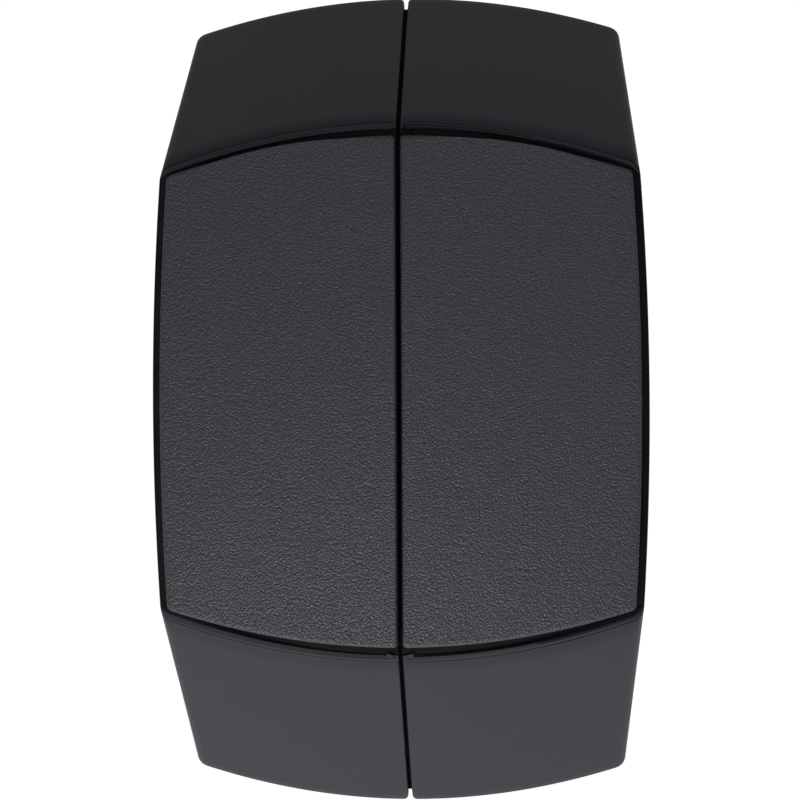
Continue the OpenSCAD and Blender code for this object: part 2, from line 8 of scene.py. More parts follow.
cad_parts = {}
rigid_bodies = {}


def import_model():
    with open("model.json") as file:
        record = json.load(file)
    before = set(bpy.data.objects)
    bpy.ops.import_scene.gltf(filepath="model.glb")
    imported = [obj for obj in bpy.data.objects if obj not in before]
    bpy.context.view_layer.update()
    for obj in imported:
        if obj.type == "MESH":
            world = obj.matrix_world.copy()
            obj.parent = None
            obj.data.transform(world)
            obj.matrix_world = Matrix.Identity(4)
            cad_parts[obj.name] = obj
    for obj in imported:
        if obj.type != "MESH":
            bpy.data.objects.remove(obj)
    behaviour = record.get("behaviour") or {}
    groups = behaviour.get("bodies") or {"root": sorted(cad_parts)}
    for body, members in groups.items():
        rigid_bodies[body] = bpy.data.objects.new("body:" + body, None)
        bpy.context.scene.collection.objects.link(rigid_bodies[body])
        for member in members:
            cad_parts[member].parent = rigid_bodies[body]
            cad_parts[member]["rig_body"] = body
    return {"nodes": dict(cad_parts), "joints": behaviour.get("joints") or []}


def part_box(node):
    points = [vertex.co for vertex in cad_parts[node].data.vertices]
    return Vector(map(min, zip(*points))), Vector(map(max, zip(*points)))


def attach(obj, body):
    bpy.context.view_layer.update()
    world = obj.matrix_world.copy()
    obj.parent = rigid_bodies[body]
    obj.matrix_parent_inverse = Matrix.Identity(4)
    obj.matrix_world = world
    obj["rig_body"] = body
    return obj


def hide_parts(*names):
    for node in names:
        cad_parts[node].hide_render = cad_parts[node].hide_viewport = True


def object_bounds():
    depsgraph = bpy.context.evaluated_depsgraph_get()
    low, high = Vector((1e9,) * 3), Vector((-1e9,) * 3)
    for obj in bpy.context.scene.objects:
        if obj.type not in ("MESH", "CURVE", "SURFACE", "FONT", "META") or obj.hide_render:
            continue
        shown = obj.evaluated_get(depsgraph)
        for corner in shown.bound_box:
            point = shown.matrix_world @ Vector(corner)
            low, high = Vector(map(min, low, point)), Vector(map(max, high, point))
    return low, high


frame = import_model()
cad_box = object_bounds()

# ---- Rear shells ----
# Each rear leaf is one moulding in charcoal ABS. It tapers from the rim to the flat rear wall, has a
# flange round the rim and a lip along the seam, and turns on two knuckles at its outer edge.
MM = 0.001
shell_low, shell_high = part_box("right_rear_shell")
panel_low, panel_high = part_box("right_rear_panel")
middle_z = (shell_low.z + shell_high.z) / 2
rim_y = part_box("front_housing")[0].y
rim_half_h = (shell_high.z - shell_low.z) / 2
rear_y = shell_low.y
seam_x = shell_low.x
panel_reveal = 1.5 * MM
rear_half_h = (panel_high.z - panel_low.z) / 2 + panel_reveal
half_w = panel_high.x + panel_reveal
end_bow = 20 * MM
side_bow = 4 * MM
corner_w = half_w - side_bow
rim_land = 2 * MM
rim_band = 6 * MM
leaf_wall = 3.5 * MM
seam_lip = 14 * MM
rim_flange = 11 * MM
shell_end = 2.0 * MM
edge_r = 0.8 * MM
parting_near = shell_end + 0.9 * MM
parting_far = shell_end + 3.8 * MM
parting_half_w = corner_w - 4 * MM
moat_edge = 0.5 * MM
moat_w = 8 * MM
moat_depth = 4.9 * MM
end_slope = (rim_half_h - rear_half_h) / (rim_y - rim_land - rear_y)
rear_turn = math.tan(math.radians(1.5))
hinge_at = Vector(next(joint["pos_m"] for joint in frame["joints"]
                       if joint["name"] == "right_leaf_swing"))
knuckle_r = 5 * MM
leaf_knuckle_h = 16 * MM
leaf_pin_hole_r = 2.55 * MM
housing_knuckle_h = 12 * MM
knuckle_gap = 0.3 * MM
pin_head_h = 2 * MM
pin_end_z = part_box("hinge_pins_right")[1].z - pin_head_h
hinge_z = pin_end_z - middle_z - leaf_knuckle_h / 2 - knuckle_gap - housing_knuckle_h
SHELL_STEPS = {"seam": 10, "seam corner": 4, "top": 30, "corner": 8, "side": 16}


def half_height(y):
    """Half height of a leaf at the seam, at a depth."""
    return rim_half_h - end_slope * max(rim_y - rim_land - y, 0)


def rounded(before, corner, after):
    """A round corner between two points, tangent to both edges."""
    at = [i / 12 for i in range(13)]
    return [before * (1 - t) ** 2 + corner * 2 * t * (1 - t) + after * t * t for t in at]


def evenly(line, steps):
    """The points that divide a line of short lengths into even steps, without its last point."""
    run = [0.0]
    for a, b in zip(line, line[1:]):
        run.append(run[-1] + (b - a).length)
    points, at = [], 0
    for i in range(steps):
        want = run[-1] * i / steps
        while run[at + 1] < want:
            at += 1
        share = (want - run[at]) / max(run[at + 1] - run[at], 1e-12)
        points.append(line[at].lerp(line[at + 1], share))
    return points


def leaf_ring(depth, inset=0.0, seam_inset=0.0, seam_round=1.2 * MM, corner_round=5.5 * MM,
              half_h=None, steps=SHELL_STEPS):
    """A closed ring round the right leaf at a depth, which may vary across it. It runs up the seam
    from the middle, along the top, down the side, back along the bottom and up to the middle."""
    depth_at = depth if callable(depth) else lambda x: depth
    lift = math.hypot(1, end_slope) if half_h is None else 1
    start = seam_x + seam_inset
    round_r = max(corner_round - inset, 1.5 * MM)

    def top(x):
        height = half_height(depth_at(x)) if half_h is None else half_h
        return height - end_bow * (x / corner_w) ** 2 - inset * lift

    corner_h = top(corner_w)

    def side(z):
        return half_w - side_bow * (z / (corner_h + inset * lift)) ** 2 - inset

    corner = Vector((side(corner_h), 0, top(side(corner_h))))
    first, last = start + seam_round, corner.x - round_r
    upper = [Vector((x, 0, top(x))) for x in (first + (last - first) * i / 40 for i in range(41))]
    outer = [Vector((side(z), 0, z)) for z in ((corner.z - round_r) * (1 - i / 40) for i in range(41))]
    seam_top = Vector((start, 0, top(start) - seam_round))
    seam_mid = Vector((start, 0, top(start) - seam_lip))
    quarter = (evenly([Vector((start, 0, 0)), seam_mid], steps["seam"] - 2)
               + evenly([seam_mid, seam_top], 2)
               + evenly(rounded(seam_top, Vector((start, 0, top(start))), upper[0]),
                        steps["seam corner"])
               + evenly(upper, steps["top"])
               + evenly(rounded(upper[-1], corner, outer[0]), steps["corner"])
               + evenly(outer, steps["side"]) + [outer[-1]])
    ring = quarter + [Vector((p.x, 0, -p.z)) for p in quarter[-2:0:-1]]
    for p in ring:
        y = depth_at(p.x)
        p.y = y + p.x * rear_turn * (y - rim_y) / (rear_y - rim_y)
        p.z += middle_z
    return ring


def deselect():
    """Leaves edit mode with nothing selected."""
    if bpy.context.object and bpy.context.object.mode == "EDIT":
        bpy.ops.object.mode_set(mode="OBJECT")
    bpy.ops.object.select_all(action="DESELECT")


def start_ring(name, points):
    """Adds a circle with a vertex for each point, in edit mode, and lays it on the points."""
    deselect()
    bpy.ops.mesh.primitive_circle_add(vertices=len(points))
    bpy.context.object.name = name
    bpy.ops.object.mode_set(mode="EDIT")
    bpy.ops.mesh.select_all(action="SELECT")
    mesh = bmesh.from_edit_mesh(bpy.context.object.data)
    place = mesh.verts.layers.int.new("place")
    for v in mesh.verts:
        v[place] = v.index
    lay_ring(points)
    return bpy.context.object


def lay_ring(points):
    """Moves each vertex of the selected ring to its own point."""
    mesh = bmesh.from_edit_mesh(bpy.context.object.data)
    place = mesh.verts.layers.int["place"]
    for v in mesh.verts:
        if v.select:
            v.co = points[v[place]]
    bmesh.update_edit_mesh(bpy.context.object.data)


def draw_out(rings):
    """Extrudes the selected ring through each of the rings in turn."""
    for ring in rings:
        bpy.ops.mesh.extrude_region_move()
        lay_ring(ring)


def pick_faces(test):
    """Selects the faces that pass a test of their centre, and nothing else."""
    bpy.ops.mesh.select_mode(type="FACE")
    bpy.ops.mesh.select_all(action="DESELECT")
    mesh = bmesh.from_edit_mesh(bpy.context.object.data)
    for face in mesh.faces:
        face.select_set(test(face.calc_center_median()))
    bmesh.update_edit_mesh(bpy.context.object.data)


def close_up(angle=35):
    """Merges doubles, turns the faces outward, leaves edit mode and smooths by angle."""
    bpy.ops.mesh.select_mode(type="VERT")
    bpy.ops.mesh.select_all(action="SELECT")
    bpy.ops.mesh.remove_doubles(threshold=0.004 * MM)
    bpy.ops.mesh.delete_loose()
    bpy.ops.mesh.select_all(action="SELECT")
    bpy.ops.mesh.normals_make_consistent(inside=False)
    bpy.ops.object.mode_set(mode="OBJECT")
    bpy.ops.object.shade_smooth_by_angle(angle=math.radians(angle))
    return bpy.context.object


def take(piece):
    """Selects one piece alone and makes it the active one."""
    deselect()
    piece.select_set(True)
    bpy.context.view_layer.objects.active = piece


def modify(piece, kind, **settings):
    """Adds a modifier to a piece and applies it."""
    take(piece)
    made = piece.modifiers.new("finish", kind)
    for name, value in settings.items():
        setattr(made, name, value)
    bpy.ops.object.modifier_apply(modifier=made.name)
    return piece


def soften(piece, width, angle=30):
    """Rounds the corners of a piece that are sharper than an angle."""
    modify(piece, "BEVEL", width=width, segments=2, limit_method="ANGLE",
           angle_limit=math.radians(angle), harden_normals=False)
    bpy.ops.object.shade_smooth_by_angle(angle=math.radians(40))
    return piece


def to_left(piece, name):
    """A copy of a piece with its own mesh, mirrored to the other side of the seam."""
    take(piece)
    bpy.ops.object.duplicate()
    copy = bpy.context.object
    copy.name = name
    copy.scale = (-1, 1, 1)
    bpy.ops.object.transform_apply(location=True, rotation=True, scale=True)
    bpy.ops.object.mode_set(mode="EDIT")
    return close_up()


def join(piece, others):
    """Makes several meshes one piece, each still a closed solid."""
    take(piece)
    for other in others:
        other.select_set(True)
    bpy.ops.object.join()
    return piece


def cut_out(piece, other):
    """Cuts a solid out of a piece and removes the solid."""
    modify(piece, "BOOLEAN", operation="DIFFERENCE", object=other, solver="MANIFOLD")
    bpy.data.objects.remove(other)
    return piece


def turned(name, profile, centre, axis="y", steps=64):
    """A closed profile of (radius, place along the axis) pairs, spun round the axis."""
    deselect()
    bpy.ops.mesh.primitive_circle_add(vertices=len(profile))
    bpy.context.object.name = name
    bpy.ops.object.mode_set(mode="EDIT")
    bpy.ops.mesh.select_all(action="SELECT")
    mesh = bmesh.from_edit_mesh(bpy.context.object.data)
    along = {"y": (0, 1, 0), "z": (0, 0, 1)}[axis]
    for v, (radius, place) in zip(list(mesh.verts), profile):
        v.co = Vector(centre) + Vector((radius, 0, 0)) + Vector(along) * place
    bmesh.update_edit_mesh(bpy.context.object.data)
    bpy.ops.mesh.spin(steps=steps, angle=2 * math.pi, center=centre, axis=along)
    return close_up()


def block(name, low, high, round_r=0.0):
    """A cube between two corners, with its edges rounded where a radius is given."""
    deselect()
    low, high = Vector(low), Vector(high)
    bpy.ops.mesh.primitive_cube_add(size=1, location=(low + high) / 2, scale=high - low)
    bpy.context.object.name = name
    bpy.ops.object.transform_apply(location=True, rotation=True, scale=True)
    if round_r:
        bpy.ops.object.mode_set(mode="EDIT")
        bpy.ops.mesh.select_all(action="SELECT")
        bpy.ops.mesh.bevel(offset=round_r, segments=2, affect="EDGES")
        close_up()
    return bpy.context.object


class Reading:
    """A number that varies over a surface, so that shader maths reads as arithmetic."""

    def __init__(self, pattern, socket):
        self.pattern, self.socket = pattern, socket

    def __add__(self, other):
        return self.pattern.math("ADD", self, other)

    def __sub__(self, other):
        return self.pattern.math("SUBTRACT", self, other)

    def __rsub__(self, other):
        return self.pattern.math("SUBTRACT", other, self)

    def __mul__(self, other):
        return self.pattern.math("MULTIPLY", self, other)

    __radd__, __rmul__ = __add__, __mul__

    def within(self, low, high):
        """Nought at or below low, one at or above high, and smooth between."""
        return Reading(self.pattern, self.pattern.node(
            "MapRange", {"interpolation_type": "SMOOTHSTEP"},
            {"Value": self, "From Min": low, "From Max": high}))


class Pattern:
    """The nodes that draw one material's or surround's pattern, in one kind of coordinates."""

    def __init__(self, tree, coordinates):
        self.tree = tree
        self.place = self.node("TexCoord", {}, {}, coordinates)

    def node(self, kind, settings, sockets, output=0):
        """Adds a node: its settings first, then the values or links of its sockets."""
        made = self.tree.nodes.new("ShaderNode" + kind)
        for name, value in settings.items():
            setattr(made, name, value)
        for name, value in sockets.items():
            self.feed(made.inputs[name], value)
        return made.outputs[output]

    def feed(self, socket, value):
        value = value.socket if isinstance(value, Reading) else value
        if isinstance(value, bpy.types.NodeSocket):
            self.tree.links.new(value, socket)
        elif socket.type == "RGBA":
            socket.default_value = (*value, 1)
        else:
            socket.default_value = value

    def math(self, operation, *values):
        return Reading(self, self.node("Math", {"operation": operation}, dict(enumerate(values))))

    def noise(self, scale, detail, roughness=0.55):
        """Cloudy noise with that many lumps to a metre."""
        return Reading(self, self.node("TexNoise", {}, {
            "Vector": self.place, "Scale": scale, "Detail": detail, "Roughness": roughness}))

    def along(self, axis):
        """The place along an axis, in metres on an object."""
        return Reading(self, self.node("SeparateXYZ", {}, {0: self.place}, axis.upper()))

    def blend(self, factor, low, high):
        """A colour between two, by a reading."""
        return self.node("Mix", {"data_type": "RGBA"}, {0: factor, 6: low, 7: high}, 2)

    def bump(self, height, distance):
        return self.node("Bump", {}, {"Height": height, "Distance": distance})


class Finish(Pattern):
    """A procedural material on a Principled shader, patterned in Object coordinates."""

    def __init__(self, name, **constants):
        self.material = bpy.data.materials.new("finish_" + name)
        self.material.use_nodes = True
        super().__init__(self.material.node_tree, "Object")
        self.set(**constants)

    def set(self, **sockets):
        for name, value in sockets.items():
            self.feed(self.tree.nodes["Principled BSDF"].inputs[name.replace("_", " ")], value)
        return self.material


COOL = (0.90, 0.89, 1.0)
# Near black, painted into the parting groove as shade.
GROOVE_SHADE = (0.001, 0.001, 0.001)


def moulded_plastic(name, colour, roughness, grain_scale, grain_depth, specular, line=None):
    """Moulded plastic: slow drift of tone, a fine etched texture and a little dust, and painted shade
    along a line where one is given."""
    finish = Finish(name, Specular_IOR_Level=specular, Specular_Tint=COOL)
    drift = finish.noise(11, 2).within(0.3, 0.7)
    fine = finish.noise(grain_scale, 4, 0.6)
    dust = finish.noise(1700, 1).within(0.68, 0.74) * finish.noise(60, 2).within(0.45, 0.7)
    lighter = tuple(1.16 * c for c in colour)
    dusty = tuple(min(2.6 * c + 0.01, 1) for c in colour)
    tone = finish.blend(dust * 0.4, finish.blend(drift, colour, lighter), dusty)
    # Painted shade darkens the surface along the given line.
    if line:
        tone = finish.blend(line(finish), tone, GROOVE_SHADE)
    return finish.set(Base_Color=tone, Roughness=roughness + (fine - 0.5) * 0.16 + drift * 0.05,
                      Normal=finish.bump(fine, grain_depth))


def parting_depth(x):
    """Depth of the parting line, which runs into the rear edge at the outer corners."""
    bulge = max(1 - (x / parting_half_w) ** 2, 0)
    return rear_y + parting_near + (parting_far - parting_near) * bulge


def parting_ring(shift, sunk):
    """A ring beside the parting line, sunk below the wall."""
    return leaf_ring(lambda x: parting_depth(x) + shift, sunk, sunk / 2)


def parting_shade(finish):
    """Painted shade for the parting groove: one on the parting line and nought beside it, on a wall
    that has nearly its whole turn there.
    """
    turn_there = 0.965 * rear_turn
    across = finish.math("ABSOLUTE", finish.along("x"))
    share = across * (1 / parting_half_w)
    bulge = finish.math("MAXIMUM", 1 - share * share, 0.0)
    off = (finish.along("y") - bulge * (parting_far - parting_near) - across * turn_there
           - (rear_y + parting_near))
    return 1 - finish.math("ABSOLUTE", off).within(0.28 * MM, 0.5 * MM)


def hinge_half(root, low, high, pin_r):
    """Drills a root for the hinge pin and joins a knuckle with chamfered ends to it."""
    edge = 0.4 * MM
    axis_at = (hinge_at.x, hinge_at.y, 0)
    hole = turned("pin_hole", [(0, low - MM), (pin_r, low - MM), (pin_r, high + MM), (0, high + MM)],
                  axis_at, "z", 32)
    cut_out(root, hole)
    knuckle = turned("knuckle", [(pin_r, low), (knuckle_r - edge, low), (knuckle_r, low + edge),
                                 (knuckle_r, high - edge), (knuckle_r - edge, high), (pin_r, high)],
                     axis_at, "z", 32)
    return join(root, [knuckle])


def shell_rings():
    """Rings from the inner edge of the rim flange over the rim and down to the rear wall."""
    rings = [leaf_ring(rim_y, rim_flange, 0, 0.8 * MM)]
    for inset, back in [(1.5, 0), (0.7, 0.2), (0.2, 0.7), (0, 1.4)]:
        rings.append(leaf_ring(rim_y - back * MM, inset * MM, 0, 3.2 * MM))
    rings.append(leaf_ring(rim_y - rim_land - 0.4 * MM, 0, 0, 2.8 * MM))
    band_y, lip_y = rim_y - rim_band, rear_y + seam_lip
    rings.append(leaf_ring(band_y, 0, 0, 2 * MM))
    rings += [leaf_ring(band_y + (lip_y - band_y) * i / 6) for i in range(1, 7)]
    groove = [(0.36, 0), (0.3, 0.1), (0.27, 0.8), (-0.27, 0.8), (-0.3, 0.1), (-0.36, 0)]
    rings += [parting_ring(shift * MM, sunk * MM) for shift, sunk in groove]
    for i in range(1, 5):
        turn = math.radians(90 * i / 4)
        rings.append(leaf_ring(rear_y + shell_end + edge_r * (1 - math.sin(turn)),
                               edge_r * (1 - math.cos(turn)), 0.2 * MM * i / 4))
    return rings


def moat_ring(inset, seam_inset, depth):
    """A ring set in from the shell's edge, at a depth from the rear wall."""
    return leaf_ring(rear_y + depth, inset, seam_inset)


def cut_moat(shell):
    """Sinks a channel round the rear wall, which the rim of the panel drops into."""
    outer, inner, clear = (moat_edge, -2 * moat_edge), (moat_w, 0.6 * moat_w), -3 * MM
    moat = start_ring("moat", moat_ring(*outer, moat_depth))
    draw_out([moat_ring(*outer, clear), moat_ring(*inner, clear), moat_ring(*inner, moat_depth),
              moat_ring(*outer, moat_depth)])
    close_up()
    cut_out(shell, moat)


def rear_shell():
    """Drawn out from the rim to the rear wall, opened along the seam and given its wall."""
    rings = shell_rings()
    shell = start_ring("right_rear_shell_body", rings[0])
    draw_out(rings[1:])
    bpy.ops.mesh.edge_face_add()
    pick_faces(lambda centre: centre.x < seam_x + 0.5 * MM and centre.y > rear_y + seam_lip
               and abs(centre.z - middle_z) < half_height(centre.y) - seam_lip * 1.05)
    bpy.ops.mesh.delete(type="FACE")
    close_up()
    modify(shell, "SOLIDIFY", thickness=leaf_wall, offset=-1, use_even_offset=True)
    cut_moat(shell)
    for z in (middle_z + hinge_z, middle_z - hinge_z):
        low, high = z - leaf_knuckle_h / 2, z + leaf_knuckle_h / 2
        root = block("root", (half_w - 3.4 * MM, rim_y - 8 * MM, low),
                     (hinge_at.x + 3.4 * MM, hinge_at.y, high), 0.5 * MM)
        join(shell, [hinge_half(root, low, high, leaf_pin_hole_r)])
    return shell


# The shell's parting groove is darkened with painted shade.
shell_plastic = moulded_plastic("leaf_plastic", (0.0165, 0.0160, 0.0212), 0.46, 1100, 0.06 * MM,
                                0.18, parting_shade)
right_shell = rear_shell()
right_shell.data.materials.clear()
right_shell.data.materials.append(shell_plastic)
left_shell = to_left(right_shell, "left_rear_shell_body")
for side, shell in (("right", right_shell), ("left", left_shell)):
    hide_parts(side + "_rear_shell")
    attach(shell, side + "_leaf")

# ---- Rear panels ----
# A grained panel is clipped onto the rear wall of each leaf and screwed on from inside. Its rim is
# rolled over, so a dark joint shows all round it, made darker by a black cord laid in the channel as
# painted shade, and the leather pattern is etched in the mould.
panel_t = 4 * MM
panel_roll = 1.8 * MM
panel_joint = 3.0 * MM
panel_seam_gap = 0.1 * MM
panel_crown = 1.2 * MM
panel_foot = 0.1 * MM
PANEL_STEPS = {"seam": 160, "seam corner": 4, "top": 144, "corner": 8, "side": 158}


def panel_ring(y, rolled):
    """A ring round the panel at a depth, rolled in from its edge."""
    return leaf_ring(y, panel_reveal + panel_joint + rolled, panel_seam_gap + rolled, 2.4 * MM,
                     7 * MM, rear_half_h + panel_crown, PANEL_STEPS)


def rear_panel():
    """The rolled rim is drawn out ring by ring and its front is filled with an even grid."""
    rolls = [math.radians(90 * i / 7) for i in range(8)]
    front_y = rear_y - panel_t
    tongue = moat_w - panel_reveal - panel_joint - 0.3 * MM
    floor_y = rear_y + moat_depth - panel_foot
    rings = [panel_ring(floor_y, tongue), panel_ring(floor_y, 0)]
    rings += [panel_ring(front_y + panel_roll * (1 - math.sin(a)), panel_roll * (1 - math.cos(a)))
              for a in rolls]
    panel = start_ring("right_rear_panel_body", panel_ring(rear_y + shell_end - panel_foot, tongue))
    bpy.ops.mesh.edge_face_add()
    bpy.ops.mesh.select_mode(type="EDGE")
    draw_out(rings)
    mesh = bmesh.from_edit_mesh(panel.data)
    place = mesh.verts.layers.int["place"]
    corner = PANEL_STEPS["seam"] + PANEL_STEPS["seam corner"] // 2
    first = next(v for v in mesh.verts if v.select and v[place] == corner)
    mesh.select_history.clear()
    mesh.select_history.add(first)
    bmesh.update_edit_mesh(panel.data)
    span = PANEL_STEPS["top"] + PANEL_STEPS["seam corner"] // 2 + PANEL_STEPS["corner"] // 2
    bpy.ops.mesh.fill_grid(span=span, offset=0)
    return close_up(60)


right_panel = rear_panel()
left_panel = to_left(right_panel, "left_rear_panel_body")


def leather_grain(name, colour):
    """Etched leather grain: small raised lumps, painted darker between them as shade, and a little
    shinier on top.
    """
    finish = Finish(name, Specular_IOR_Level=0.5, Specular_Tint=COOL)
    bent = finish.node("VectorMath", {"operation": "ADD"}, {
        0: finish.place, 1: finish.node("VectorMath", {"operation": "SCALE"}, {
            0: finish.node("TexNoise", {}, {"Vector": finish.place, "Scale": 500, "Detail": 2}, 1),
            "Scale": 0.9 * MM})})
    lumps = 1 - Reading(finish, finish.node("TexVoronoi", {}, {"Vector": bent, "Scale": 900}))
    fine = finish.noise(1900, 3, 0.6)
    drift = finish.noise(11, 2).within(0.3, 0.7)
    height = lumps + fine * 0.35
    valley = lumps.within(0.35, 0.8)
    lighter = tuple(1.12 * c for c in colour)
    # The valleys between the lumps are painted darker, as shade.
    tone = finish.blend(valley, tuple(0.86 * c for c in colour),
                        finish.blend(drift, colour, lighter))
    return finish.set(Base_Color=tone, Roughness=0.47 - valley * 0.14 + (fine - 0.5) * 0.1,
                      Normal=finish.bump(height, 0.42 * MM))


panel_grain = leather_grain("leaf_grain", (0.0205, 0.0200, 0.0262))
leather = bpy.data.textures.new("leather", "CLOUDS")
leather.noise_scale = 1.3 * MM
leather.noise_depth = 1
for side, panel in (("right", right_panel), ("left", left_panel)):
    modify(panel, "DISPLACE", texture=leather, texture_coords="LOCAL", strength=0.12 * MM,
           mid_level=0.7)
    panel.data.materials.append(panel_grain)
    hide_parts(side + "_rear_panel")
    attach(panel, side + "_leaf")

# ---- Shade cord, seam strip and panel screws ----
# A black cord lies deep in the channel round each panel as painted shade in the joint, and a rubber
# strip on the left leaf closes the seam. Four pan head screws a leaf hold the panel from inside.
def spot(x, y, z):
    """A point by its place in millimetres: across, in front of the rims and above the middle."""
    return Vector((x * MM, rim_y + y * MM, middle_z + z * MM))


def sized(profile):
    """A profile in millimetres made metres."""
    return [(radius * MM, along * MM) for radius, along in profile]


def stand_for(piece, finish, *nodes):
    """Gives a new piece its finish, and puts it in the place of CAD nodes of one body."""
    piece.data.materials.clear()
    piece.data.materials.append(finish)
    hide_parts(*nodes)
    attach(piece, frame["nodes"][nodes[0]]["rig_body"])
    return piece


def dress(finish, *nodes):
    """Gives CAD nodes a finish and leaves their meshes as they are."""
    for node in nodes:
        frame["nodes"][node].data.materials.clear()
        frame["nodes"][node].data.materials.append(finish)


def surface(name, colour, roughness, scale, depth, **constants):
    """A plain finish: slow drift of tone and a fine texture in its roughness and its relief."""
    finish = Finish(name, **constants)
    drift = finish.noise(35, 2).within(0.3, 0.7)
    fine = finish.noise(scale, 4, 0.6)
    tone = finish.blend(drift, colour, tuple(min(1.2 * c + 0.002, 1) for c in colour))
    return finish.set(Base_Color=tone, Roughness=roughness + (fine - 0.5) * 0.2,
                      Normal=finish.bump(fine, depth * MM))


def softened(node, width, finish):
    """A copy of a CAD node's mesh with its doubles merged and its corners rounded, in its place."""
    piece = bpy.data.objects.new(node + "_body", frame["nodes"][node].data.copy())
    bpy.context.scene.collection.objects.link(piece)
    take(piece)
    bpy.ops.object.mode_set(mode="EDIT")
    bpy.ops.mesh.select_all(action="SELECT")
    bpy.ops.mesh.remove_doubles(threshold=0.004 * MM)
    bpy.ops.mesh.dissolve_limited(angle_limit=math.radians(1))
    bpy.ops.object.mode_set(mode="OBJECT")
    soften(piece, width * MM)
    return stand_for(piece, finish, node)


rubber = surface("rubber_black", (0.004, 0.004, 0.005), 0.85, 2400, 0.05, Specular_IOR_Level=0.12)
stainless = surface("stainless", (0.56, 0.56, 0.55), 0.32, 900, 0.01, Metallic=1.0)
cord_overrun = 2.4 * MM


def cord_ring(inset, depth):
    """A ring in the channel that runs past the seam, where it is cut off."""
    return leaf_ring(rear_y + depth * MM, inset * MM, -cord_overrun)


def joint_shade_cord():
    """The black cord, painted shade in the joint, follows the channel and ends square at the seam."""
    section = [(0.65, 4.8), (0.65, 3.1), (0.95, 2.8), (4.0, 2.8), (4.3, 3.1), (4.3, 4.8)]
    cord = start_ring("right_joint_shade_cord", cord_ring(*section[0]))
    draw_out([cord_ring(*corner) for corner in section[1:] + section[:1]])
    bpy.ops.mesh.select_all(action="SELECT")
    bpy.ops.mesh.remove_doubles(threshold=0.004 * MM)
    bpy.ops.mesh.select_all(action="SELECT")
    bpy.ops.mesh.bisect(plane_co=(seam_x + 0.2 * MM, 0, 0), plane_no=(1, 0, 0), clear_inner=True,
                        use_fill=True)
    return close_up()


def panel_screw(x, z):
    """A pan head screw against the inside of the rear wall, with a slot."""
    y = (rear_y - rim_y + x * MM * rear_turn) / MM
    screw = turned("panel_screw", sized([(0, 5.2), (5.2, 5.2), (5.5, 5.5), (5.4, 6.5), (4.4, 7.2),
                                         (2.6, 7.5), (0, 7.6)]), spot(x, y, z), steps=32)
    slot = block("slot", spot(x - 6.5, y + 6.6, z - 0.6), spot(x + 6.5, y + 9, z + 0.6))
    return cut_out(screw, slot)


# The black cords in the channels stand in for shade in the joints.
right_cord = joint_shade_cord()
left_cord = to_left(right_cord, "left_joint_shade_cord")
for side, cord in (("right", right_cord), ("left", left_cord)):
    cord.data.materials.append(rubber)
    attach(cord, side + "_leaf")
panel_screw_z = 82
screws = [panel_screw(x, z) for x in (28, 96) for z in (panel_screw_z, -panel_screw_z)]
right_screws = join(screws[0], screws[1:])
right_screws.name = "right_panel_screws_body"
left_screws = to_left(right_screws, "left_panel_screws_body")
stand_for(right_screws, stainless, "right_panel_screws")
stand_for(left_screws, stainless, "left_panel_screws")
dress(rubber, "seam_seal")

# ---- Front housing ----
# One moulding in charcoal ABS with a rounded front edge. It has a recessed seat for each lens, bosses
# for the mounts, the strap and the visor screws, and the fixed hinge knuckles.
housing_back = 1.8
housing_front = 40
front_wall = 5
front_roll = 2.8
wall_outside = 5.5
wall_inside = 8.5
aspect_z = 105
seat_r = 103.8
seat_y = 36.5
visor_screw_r = 109
visor_screw_angles = (45, 135, 225, 315)
mount_y = 20
strap_screw_x = 108
housing_pin_hole_r = 2.5 * MM


def barrel_ring(y, inset):
    """A ring round the whole head at a depth, set in from the rims of the leaves."""
    steps = {"seam": 3, "seam corner": 1, "top": 30, "corner": 8, "side": 16}
    ring = leaf_ring(rim_y, inset * MM, -seam_x, 0.01 * MM, half_h=rim_half_h, steps=steps)
    half = [p for p in ring if p.x > 0.1 * MM]
    ring = half + [Vector((-p.x, p.y, p.z)) for p in reversed(half)]
    for p in ring:
        p.y = rim_y + y * MM
    return ring


def at_corners(angles, radius, z):
    """Places in X and Z round the middle of an aspect, in millimetres."""
    return [(radius * math.cos(math.radians(a)), z + radius * math.sin(math.radians(a)))
            for a in angles]


def housing_cuts():
    """The lens seats, the holes for the mounts and the locks, and the vent's hole."""
    cuts = [turned("seat", sized([(0, 30), (100, 30), (100, seat_y), (seat_r, seat_y), (seat_r, 45),
                                  (0, 45)]), spot(0, 0, z), steps=96) for z in (aspect_z, -aspect_z)]
    for z in (1, -1):
        cuts.append(turned("bore", sized([(0, 190 * z), (15, 190 * z), (15, 230 * z), (0, 230 * z)]),
                           spot(0, mount_y, 0), "z", 48))
        cuts += [turned("bore", sized([(0, 200 * z), (8, 200 * z), (8, 230 * z), (0, 230 * z)]),
                        spot(x, 12, 0), "z", 32) for x in (45, -45)]
    cuts.append(turned("vent", sized([(0, -230), (6, -230), (6, -200), (0, -200)]),
                       spot(-86, mount_y, 0), "z", 32))
    return join(cuts[0], cuts[1:])


